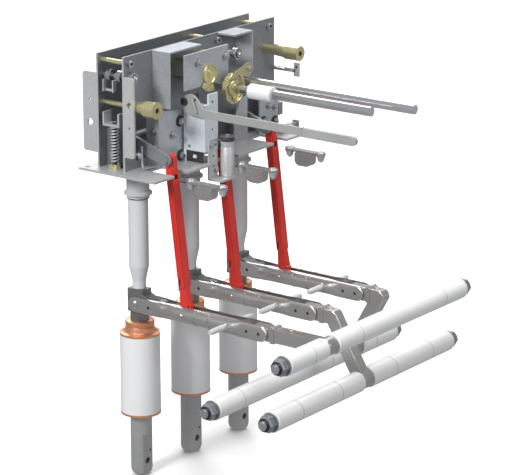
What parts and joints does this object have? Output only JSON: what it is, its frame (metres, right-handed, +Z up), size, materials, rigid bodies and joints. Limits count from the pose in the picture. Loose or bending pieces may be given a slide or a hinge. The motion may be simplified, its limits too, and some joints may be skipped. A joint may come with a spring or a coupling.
{
  "type": "ring main unit",
  "caption": "Switching module of a ring main unit: interrupters, change-over arms, busbars, earthing contacts and operating mechanism.",
  "frame": {"origin": "middle of the four base plate bolts, on the underside of the base plate", "axes": "+X forwards to the operating side, +Y along the row of phases, +Z up"},
  "size_m": [0.36, 0.402, 0.542],
  "materials": {
    "zinc_dark": "satin blue-grey zinc plating",
    "zinc_mid": "satin blue-grey zinc plating",
    "zinc_light": "satin light grey plating",
    "box_light": "satin very light bluish grey",
    "steel_fastener": "bright zinc-plated steel",
    "yellow_chromate": "yellow chromate plating",
    "chrome_rod": "polished hard chrome",
    "white_plastic": "satin white plastic",
    "ceramic": "glossy light grey ceramic glaze",
    "interrupter_metal": "copper caps and satin grey terminal",
    "contact_metal": "warm grey plated contact metal",
    "red_plastic": "satin red moulded plastic",
    "head_metal": "satin dark grey metal",
    "lever_grey": "satin light warm grey",
    "grey_plastic": "matt grey plastic"
  },
  "bodies": {
    "frame": {"base_plate": "zinc_light", "box_foot": "zinc_mid", "bridge_bracket_left": "zinc_mid", "bridge_bracket_right": "zinc_mid", "busbar_front": "steel_fastener", "busbar_rear": "steel_fastener", "busbar_top": "steel_fastener", "cam_disc": "yellow_chromate", "carriage_plate": "zinc_mid", "ceramic_a": "ceramic", "ceramic_b": "ceramic", "ceramic_c": "ceramic", "damper": "zinc_light", "damper_bracket": "zinc_light", "earth_contact_a": "contact_metal", "earth_contact_b": "contact_metal", "earth_contact_c": "contact_metal", "fasteners": "steel_fastener", "fixed_contact_a": "contact_metal", "fixed_contact_b": "contact_metal", "fixed_contact_c": "contact_metal", "front_plate": "zinc_dark", "guide_collars": "grey_plastic", "head_a": "head_metal", "head_b": "head_metal", "head_c": "head_metal", "interlock_box": "box_light", "interrupter_metal_a": "interrupter_metal", "interrupter_metal_b": "interrupter_metal", "interrupter_metal_c": "interrupter_metal", "quadrant_plate": "zinc_mid", "rear_plate": "zinc_dark", "rollers": "steel_fastener", "shaft_bearings": "zinc_dark", "sleeves_front": "white_plastic", "sleeves_rear": "white_plastic", "sleeves_top": "white_plastic", "spacer_rods": "yellow_chromate", "spring": "steel_fastener", "spring_carrier": "zinc_mid", "standoffs": "yellow_chromate", "support_plate_left": "zinc_mid", "support_plate_right": "zinc_mid"},
    "changeover_shaft": {"changeover_shaft": "zinc_mid"},
    "interrupter_shaft": {"interrupter_shaft": "zinc_mid"},
    "upper_rod": {"operating_rod_upper": "chrome_rod", "cam_lever": "yellow_chromate"},
    "lower_rod": {"operating_rod_lower": "chrome_rod", "rod_bush": "white_plastic", "cam_wheel": "yellow_chromate"},
    "hand_lever": {"hand_lever": "lever_grey"},
    "drive_rod_a": {"drive_rod_a": "red_plastic"},
    "arm_a": {"arm_a": "contact_metal"},
    "push_rod_a": {"push_rod_a": "white_plastic"},
    "drive_rod_b": {"drive_rod_b": "red_plastic"},
    "arm_b": {"arm_b": "contact_metal"},
    "push_rod_b": {"push_rod_b": "white_plastic"},
    "drive_rod_c": {"drive_rod_c": "red_plastic"},
    "arm_c": {"arm_c": "contact_metal"},
    "push_rod_c": {"push_rod_c": "white_plastic"}
  },
  "joints": [
    {"name": "changeover", "type": "hinge", "parent": "frame", "child": "changeover_shaft", "pos_m": [-0.008, 0, 0.037], "axis": [0, -1, 0], "range_deg": [0, 66.08]},
    {"name": "interrupter_drive", "type": "hinge", "parent": "frame", "child": "interrupter_shaft", "pos_m": [-0.022, 0, 0.017], "axis": [0, -1, 0], "range_deg": [0, 20.8]},
    {"name": "upper_rod_turn", "type": "hinge", "parent": "frame", "child": "upper_rod", "pos_m": [0, 0.05, 0.0875], "axis": [1, 0, 0], "range_deg": [0, 90]},
    {"name": "lower_rod_turn", "type": "hinge", "parent": "frame", "child": "lower_rod", "pos_m": [0, 0.019, 0.085], "axis": [1, 0, 0], "range_deg": [0, 90]},
    {"name": "hand_lever_swing", "type": "hinge", "parent": "frame", "child": "hand_lever", "pos_m": [0.045, -0.05, 0.069], "axis": [0, -1, 0], "range_deg": [-30, 20]},
    {"name": "arm_swing_a", "type": "hinge", "parent": "frame", "child": "arm_a", "pos_m": [0, -0.1, -0.1725], "axis": [0, -1, 0], "range_deg": [0, 56.8]},
    {"name": "drive_rod_swing_a", "type": "hinge", "parent": "changeover_shaft", "child": "drive_rod_a", "pos_m": [0.052, -0.1, 0.019], "axis": [0, -1, 0], "range_deg": [-71.3, 0]},
    {"name": "push_rod_slide_a", "type": "slide", "parent": "frame", "child": "push_rod_a", "axis": [0, 0, 1], "range_m": [0, 0.0082]},
    {"name": "arm_swing_b", "type": "hinge", "parent": "frame", "child": "arm_b", "pos_m": [0, 0, -0.1725], "axis": [0, -1, 0], "range_deg": [0, 56.8]},
    {"name": "drive_rod_swing_b", "type": "hinge", "parent": "changeover_shaft", "child": "drive_rod_b", "pos_m": [0.052, 0, 0.019], "axis": [0, -1, 0], "range_deg": [-71.3, 0]},
    {"name": "push_rod_slide_b", "type": "slide", "parent": "frame", "child": "push_rod_b", "axis": [0, 0, 1], "range_m": [0, 0.008]},
    {"name": "arm_swing_c", "type": "hinge", "parent": "frame", "child": "arm_c", "pos_m": [0, 0.1, -0.1725], "axis": [0, -1, 0], "range_deg": [0, 56.8]},
    {"name": "drive_rod_swing_c", "type": "hinge", "parent": "changeover_shaft", "child": "drive_rod_c", "pos_m": [0.052, 0.1, 0.019], "axis": [0, -1, 0], "range_deg": [-71.3, 0]},
    {"name": "push_rod_slide_c", "type": "slide", "parent": "frame", "child": "push_rod_c", "axis": [0, 0, 1], "range_m": [0, 0.0082]}
  ],
  "couplings": [
    {"joint": "arm_swing_a", "follows": "changeover", "ratio": 0.852},
    {"joint": "drive_rod_swing_a", "follows": "changeover", "ratio": -1.0714},
    {"joint": "push_rod_slide_a", "follows": "push_rod_slide_b", "ratio": 1},
    {"joint": "arm_swing_b", "follows": "changeover", "ratio": 0.852},
    {"joint": "drive_rod_swing_b", "follows": "changeover", "ratio": -1.0714},
    {"joint": "interrupter_drive", "follows": "push_rod_slide_b", "rad_per_m": 44.942},
    {"joint": "arm_swing_c", "follows": "changeover", "ratio": 0.852},
    {"joint": "drive_rod_swing_c", "follows": "changeover", "ratio": -1.0714},
    {"joint": "push_rod_slide_c", "follows": "push_rod_slide_b", "ratio": 1}
  ]
}
